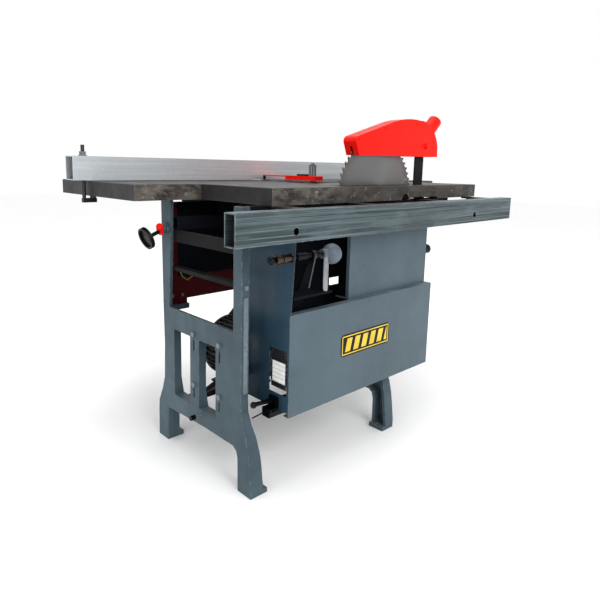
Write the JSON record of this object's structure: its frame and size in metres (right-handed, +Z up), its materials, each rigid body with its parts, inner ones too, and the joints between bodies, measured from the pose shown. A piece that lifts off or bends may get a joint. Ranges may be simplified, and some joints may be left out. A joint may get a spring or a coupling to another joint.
{
  "type": "table saw",
  "caption": "Cast-frame workshop table saw with hooded blade, box rail, clamped rip fence and a surface planer with long tables behind it.",
  "frame": {"origin": "middle of the overall footprint, on the floor", "axes": "+X along the feed direction of the tables, from the infeed end to the outfeed end; +Y from the front rail to the planer side; +Z up"},
  "size_m": [1.673, 1.005, 1.1057],
  "materials": {
    "frame_paint": "slate blue-grey enamel, semi-gloss",
    "panel_paint": "slate blue-grey powder coat",
    "red_paint": "bright red enamel",
    "dark_red": "deep red enamel",
    "black_paint": "black enamel",
    "table_iron": "machined grey iron with a tinted protective film",
    "cutter_steel": "ground steel",
    "blade_steel": "bright brushed steel",
    "galvanised": "galvanised steel tube",
    "fence_metal": "mill-finish box section",
    "zinc": "bright zinc plate",
    "black_plastic": "black phenolic",
    "belt_rubber": "black rubber and cord",
    "bronze": "turned bronze",
    "light_casting": "light grey casting",
    "motor_paint": "dark grey motor paint",
    "plate_white": "plain printed plate",
    "plate_stripe": "plain yellow and black striped plate",
    "wire_green": "green-yellow earth wire"
  },
  "bodies": {
    "frame": {"badge_plate": "plate_stripe", "bed_beams": "black_paint", "cast_head": "light_casting", "cross_bars": "black_paint", "data_plate": "plate_white", "drive_belts": "belt_rubber", "earth_wire": "wire_green", "fasteners": "zinc", "front_bearing": "black_paint", "front_panel": "panel_paint", "front_rail": "galvanised", "guard_stand": "zinc", "guide_column": "zinc", "handwheel_boss": "frame_paint", "infeed_arm": "frame_paint", "inner_sheets": "black_paint", "left_end_frame": "frame_paint", "left_side_sheet": "panel_paint", "middle_bearing": "black_paint", "motor_body": "motor_paint", "outfeed_arm": "frame_paint", "outfeed_table": "table_iron", "rail_brackets": "zinc", "rear_bearing": "black_paint", "rear_panel": "dark_red", "right_end_frame": "frame_paint", "saw_table": "table_iron", "spindle_bush": "bronze", "splitter": "black_paint", "splitter_clamp": "black_paint", "stretchers": "black_paint", "switch_box": "motor_paint", "table_insert": "black_paint", "tension_rod": "black_paint", "upper_cover": "panel_paint"},
    "arbor": {"saw_blade": "blade_steel", "blade_flanges": "cutter_steel", "arbor_shaft": "cutter_steel", "cutter_block": "cutter_steel", "planer_knives": "blade_steel"},
    "rotor": {"motor_rotor": "cutter_steel", "motor_pulley": "cutter_steel"},
    "infeed": {"infeed_table": "table_iron"},
    "wheel": {"handwheel": "black_plastic"},
    "lock": {"lock_lever": "red_paint"},
    "fence": {"fence_tube": "fence_metal"},
    "left_hook": {"left_clamp_hook": "zinc"},
    "right_hook": {"right_clamp_hook": "zinc"},
    "left_nut": {"left_clamp_nut": "zinc"},
    "right_nut": {"right_clamp_nut": "zinc"},
    "spindle": {"adjusting_spindle": "zinc"},
    "lever": {"spindle_lever": "bronze"},
    "latch": {"cover_knob": "black_plastic"},
    "hood": {"guard_front_half": "red_paint", "guard_rear_half": "red_paint", "guard_screws": "zinc", "dust_spout": "red_paint"},
    "bridge": {"bridge_guard": "red_paint", "guard_rests": "black_plastic"},
    "bridge_knob": {"guard_knob": "black_plastic"}
  },
  "joints": [
    {"name": "arbor_spin", "type": "hinge", "parent": "frame", "child": "arbor", "pos_m": [0, -0.2925, 0.806], "axis": [0, 1, 0], "continuous": true},
    {"name": "motor_spin", "type": "hinge", "parent": "frame", "child": "rotor", "pos_m": [-0.4915, -0.1675, 0.338], "axis": [0, 1, 0], "continuous": true},
    {"name": "infeed_height", "type": "slide", "parent": "frame", "child": "infeed", "axis": [0, 0, 1], "range_m": [0, 0.0025]},
    {"name": "handwheel_turn", "type": "hinge", "parent": "frame", "child": "wheel", "pos_m": [-0.6415, 0.0225, 0.712], "axis": [-0.9272, 0, -0.3746], "range_deg": [-3, 723]},
    {"name": "height_lock", "type": "hinge", "parent": "frame", "child": "lock", "pos_m": [-0.6415, 0.0225, 0.712], "axis": [-0.9272, 0, -0.3746], "range_deg": [-60, 10]},
    {"name": "fence_slide", "type": "slide", "parent": "frame", "child": "fence", "axis": [0, 1, 0], "range_m": [0, 0.17]},
    {"name": "left_hook_drop", "type": "slide", "parent": "fence", "child": "left_hook", "axis": [0, 0, 1], "range_m": [-0.003, 0]},
    {"name": "left_nut_turn", "type": "hinge", "parent": "fence", "child": "left_nut", "pos_m": [-0.7915, 0.2825, 0.935], "axis": [0, 0, 1], "range_deg": [-3, 723]},
    {"name": "right_hook_drop", "type": "slide", "parent": "fence", "child": "right_hook", "axis": [0, 0, 1], "range_m": [-0.003, 0]},
    {"name": "right_nut_turn", "type": "hinge", "parent": "fence", "child": "right_nut", "pos_m": [0.7915, 0.2825, 0.935], "axis": [0, 0, 1], "range_deg": [-3, 723]},
    {"name": "spindle_turn", "type": "hinge", "parent": "frame", "child": "spindle", "pos_m": [-0.5415, -0.4445, 0.672], "axis": [1, 0, 0], "range_deg": [-720, 720]},
    {"name": "spindle_lever_turn", "type": "hinge", "parent": "frame", "child": "lever", "pos_m": [-0.4665, -0.4445, 0.672], "axis": [1, 0, 0], "range_deg": [-60, 15]},
    {"name": "cover_latch", "type": "hinge", "parent": "frame", "child": "latch", "pos_m": [0.1215, -0.4115, 0.63], "axis": [1, 0, 0], "range_deg": [0, 90]},
    {"name": "hood_lift", "type": "hinge", "parent": "frame", "child": "hood", "pos_m": [0.2535, -0.2925, 0.99], "axis": [0, 1, 0], "range_deg": [0, 25]},
    {"name": "bridge_height", "type": "slide", "parent": "frame", "child": "bridge", "axis": [0, 0, 1], "range_m": [0, 0.01]},
    {"name": "bridge_knob_turn", "type": "hinge", "parent": "frame", "child": "bridge_knob", "pos_m": [-0.0785, -0.0635, 0.915], "axis": [0, 0, 1], "range_deg": [0, 360]}
  ],
  "couplings": [
    {"joint": "motor_spin", "follows": "arbor_spin", "ratio": 0.6176},
    {"joint": "handwheel_turn", "follows": "infeed_height", "rad_per_m": 5026.5},
    {"joint": "left_nut_turn", "follows": "left_hook_drop", "rad_per_m": -4188.8},
    {"joint": "right_nut_turn", "follows": "right_hook_drop", "rad_per_m": -4188.8}
  ]
}
